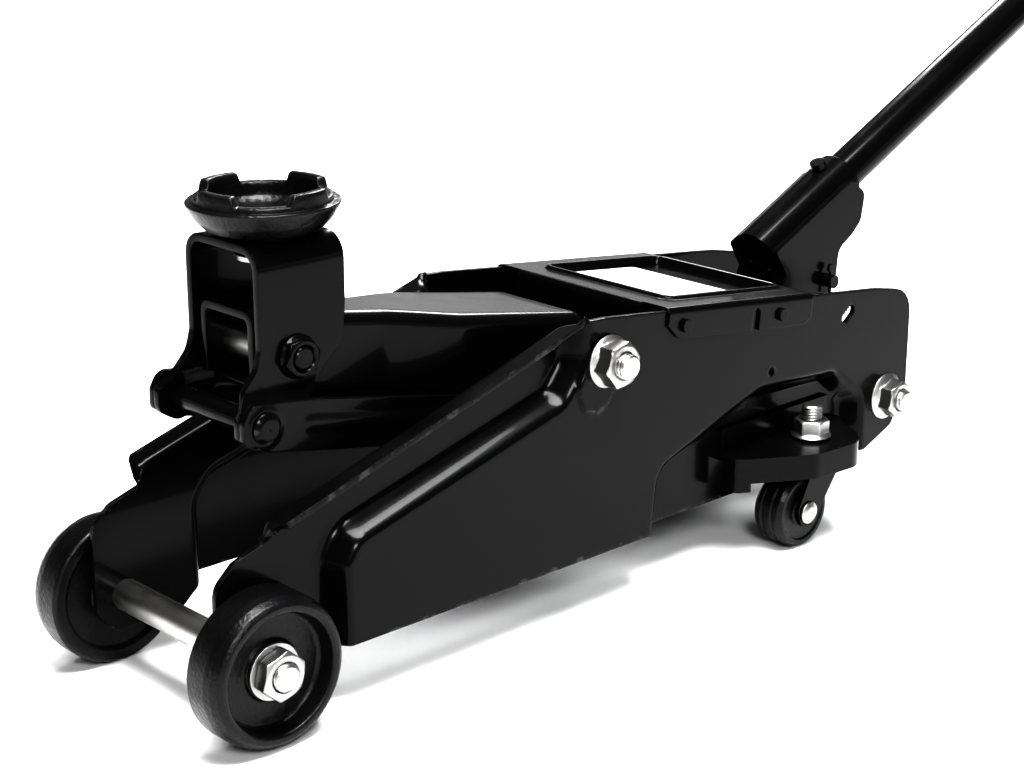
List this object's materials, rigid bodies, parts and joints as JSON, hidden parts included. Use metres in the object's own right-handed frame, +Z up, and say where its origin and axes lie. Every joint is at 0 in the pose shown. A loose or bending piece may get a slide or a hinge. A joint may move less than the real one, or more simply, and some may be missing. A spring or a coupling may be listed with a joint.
{
  "type": "hydraulic trolley jack",
  "caption": "Low wheeled hydraulic floor jack: a pump handle raises a saddle on a parallel-link lift arm between pressed side plates.",
  "frame": {"origin": "on the floor under the middle of the bounding box", "axes": "+X back towards the pump handle, +Y the jack's right-hand side, +Z up"},
  "size_m": [1.0368, 0.1894, 0.4418],
  "materials": {
    "black_paint": "gloss black enamel",
    "zinc": "bright zinc plate",
    "steel": "bare turned steel",
    "spring_steel": "oiled spring steel",
    "cast_black": "black painted casting, grainy",
    "label_white": "printed film, plain",
    "grip_rubber": "moulded rubber grip",
    "ground_steel": "ground ram rod"
  },
  "bodies": {
    "frame": {"axle_nuts": "zinc", "axle_washers": "zinc", "caster_bracket_left": "black_paint", "caster_bracket_right": "black_paint", "caster_nuts": "zinc", "caster_stems": "zinc", "cover_plate": "black_paint", "cover_screws": "black_paint", "filler_plug": "zinc", "front_axle": "steel", "label_plate": "label_white", "lift_shaft": "steel", "lift_shaft_nuts": "zinc", "lift_shaft_spacers": "black_paint", "link_pivots": "black_paint", "oil_tank": "black_paint", "pump_spring": "spring_steel", "ram_barrel": "black_paint", "ram_gland": "black_paint", "rear_bolt": "steel", "rear_nuts": "zinc", "rear_spacers": "black_paint", "return_springs": "spring_steel", "side_plate_left": "black_paint", "side_plate_right": "black_paint", "socket_bolts": "black_paint", "spring_anchors": "black_paint", "valve_block": "black_paint"},
    "arm": {"lift_arm": "black_paint", "yoke_bolt": "black_paint", "yoke_nut": "black_paint", "yoke_spacer": "steel", "horn_pin": "steel"},
    "horn_roller": {"horn_roller": "steel"},
    "yoke": {"yoke": "black_paint", "yoke_pin": "black_paint"},
    "saddle": {"saddle": "cast_black", "saddle_retainer": "steel"},
    "link_left": {"link_left": "black_paint"},
    "link_right": {"link_right": "black_paint"},
    "front_wheel_left": {"front_wheel_left": "cast_black"},
    "front_wheel_right": {"front_wheel_right": "cast_black"},
    "caster_left": {"caster_fork_left": "black_paint", "caster_axle_left": "zinc"},
    "caster_right": {"caster_fork_right": "black_paint", "caster_axle_right": "zinc"},
    "caster_wheel_left": {"caster_wheel_left": "cast_black"},
    "caster_wheel_right": {"caster_wheel_right": "cast_black"},
    "ram": {"ram": "ground_steel"},
    "plunger": {"pump_plunger": "ground_steel"},
    "socket": {"handle_socket": "black_paint", "pump_roller_pin": "black_paint", "cotter_pins": "black_paint", "clamp_screw": "black_paint"},
    "pump_roller": {"pump_roller": "steel"},
    "handle": {"handle_lower": "black_paint", "handle_upper": "black_paint", "handle_button": "zinc", "handle_grip": "grip_rubber"},
    "release_valve": {"release_valve": "steel"}
  },
  "joints": [
    {"name": "lift", "type": "hinge", "parent": "frame", "child": "arm", "pos_m": [-0.26092, 0, 0.138], "axis": [0, 1, 0], "range_deg": [-37, 38], "deforming": ["return_springs"]},
    {"name": "yoke_tilt", "type": "hinge", "parent": "arm", "child": "yoke", "pos_m": [-0.42942, 0, 0.167], "axis": [0, 1, 0], "range_deg": [-38, 37]},
    {"name": "link_left_swing", "type": "hinge", "parent": "frame", "child": "link_left", "pos_m": [-0.28792, 0, 0.1113], "axis": [0, 1, 0], "range_deg": [-37, 38]},
    {"name": "link_right_swing", "type": "hinge", "parent": "frame", "child": "link_right", "pos_m": [-0.28792, 0, 0.1113], "axis": [0, 1, 0], "range_deg": [-37, 38]},
    {"name": "saddle_swivel", "type": "hinge", "parent": "yoke", "child": "saddle", "pos_m": [-0.42492, 0, 0.2215], "axis": [0, 0, 1], "continuous": true},
    {"name": "front_wheel_left_spin", "type": "hinge", "parent": "frame", "child": "front_wheel_left", "pos_m": [-0.48092, -0.066, 0.0375], "axis": [0, 1, 0], "continuous": true},
    {"name": "front_wheel_right_spin", "type": "hinge", "parent": "frame", "child": "front_wheel_right", "pos_m": [-0.48092, 0.066, 0.0375], "axis": [0, 1, 0], "continuous": true},
    {"name": "caster_left_swivel", "type": "hinge", "parent": "frame", "child": "caster_left", "pos_m": [-0.09792, -0.071, 0.053], "axis": [0, 0, 1], "continuous": true},
    {"name": "caster_right_swivel", "type": "hinge", "parent": "frame", "child": "caster_right", "pos_m": [-0.09792, 0.071, 0.053], "axis": [0, 0, 1], "continuous": true},
    {"name": "caster_wheel_left_spin", "type": "hinge", "parent": "caster_left", "child": "caster_wheel_left", "pos_m": [-0.11392, -0.071, 0.0215], "axis": [0, 1, 0], "continuous": true},
    {"name": "caster_wheel_right_spin", "type": "hinge", "parent": "caster_right", "child": "caster_wheel_right", "pos_m": [-0.11392, 0.071, 0.0215], "axis": [0, 1, 0], "continuous": true},
    {"name": "ram_slide", "type": "slide", "parent": "frame", "child": "ram", "axis": [-1, 0, 0], "range_m": [-0.0268, 0.0275]},
    {"name": "horn_roller_spin", "type": "hinge", "parent": "arm", "child": "horn_roller", "pos_m": [-0.26092, 0, 0.094], "axis": [0, 1, 0], "continuous": true},
    {"name": "handle_pump", "type": "hinge", "parent": "frame", "child": "socket", "pos_m": [-0.05692, 0, 0.117], "axis": [0, -1, 0], "range_deg": [-8, 34]},
    {"name": "handle_twist", "type": "hinge", "parent": "socket", "child": "handle", "pos_m": [-0.06792, 0, 0.148], "axis": [0.9003, 0, 0.4352], "range_deg": [0, 120]},
    {"name": "release_valve_turn", "type": "hinge", "parent": "frame", "child": "release_valve", "pos_m": [-0.01092, 0.016, 0.082], "axis": [1, 0, 0], "range_deg": [0, 120]},
    {"name": "pump_roller_spin", "type": "hinge", "parent": "socket", "child": "pump_roller", "pos_m": [-0.02392, 0, 0.129], "axis": [0, 1, 0], "continuous": true},
    {"name": "plunger_slide", "type": "slide", "parent": "frame", "child": "plunger", "axis": [0, 0, 1], "range_m": [-0.004, 0.0167], "deforming": ["pump_spring"]}
  ],
  "couplings": [
    {"joint": "yoke_tilt", "follows": "lift", "ratio": -1},
    {"joint": "link_left_swing", "follows": "lift", "ratio": 1},
    {"joint": "link_right_swing", "follows": "lift", "ratio": 1},
    {"joint": "ram_slide", "follows": "lift", "m_per_rad": 0.041},
    {"joint": "plunger_slide", "follows": "handle_pump", "m_per_rad": 0.02763},
    {"joint": "release_valve_turn", "follows": "handle_twist", "ratio": 1}
  ]
}
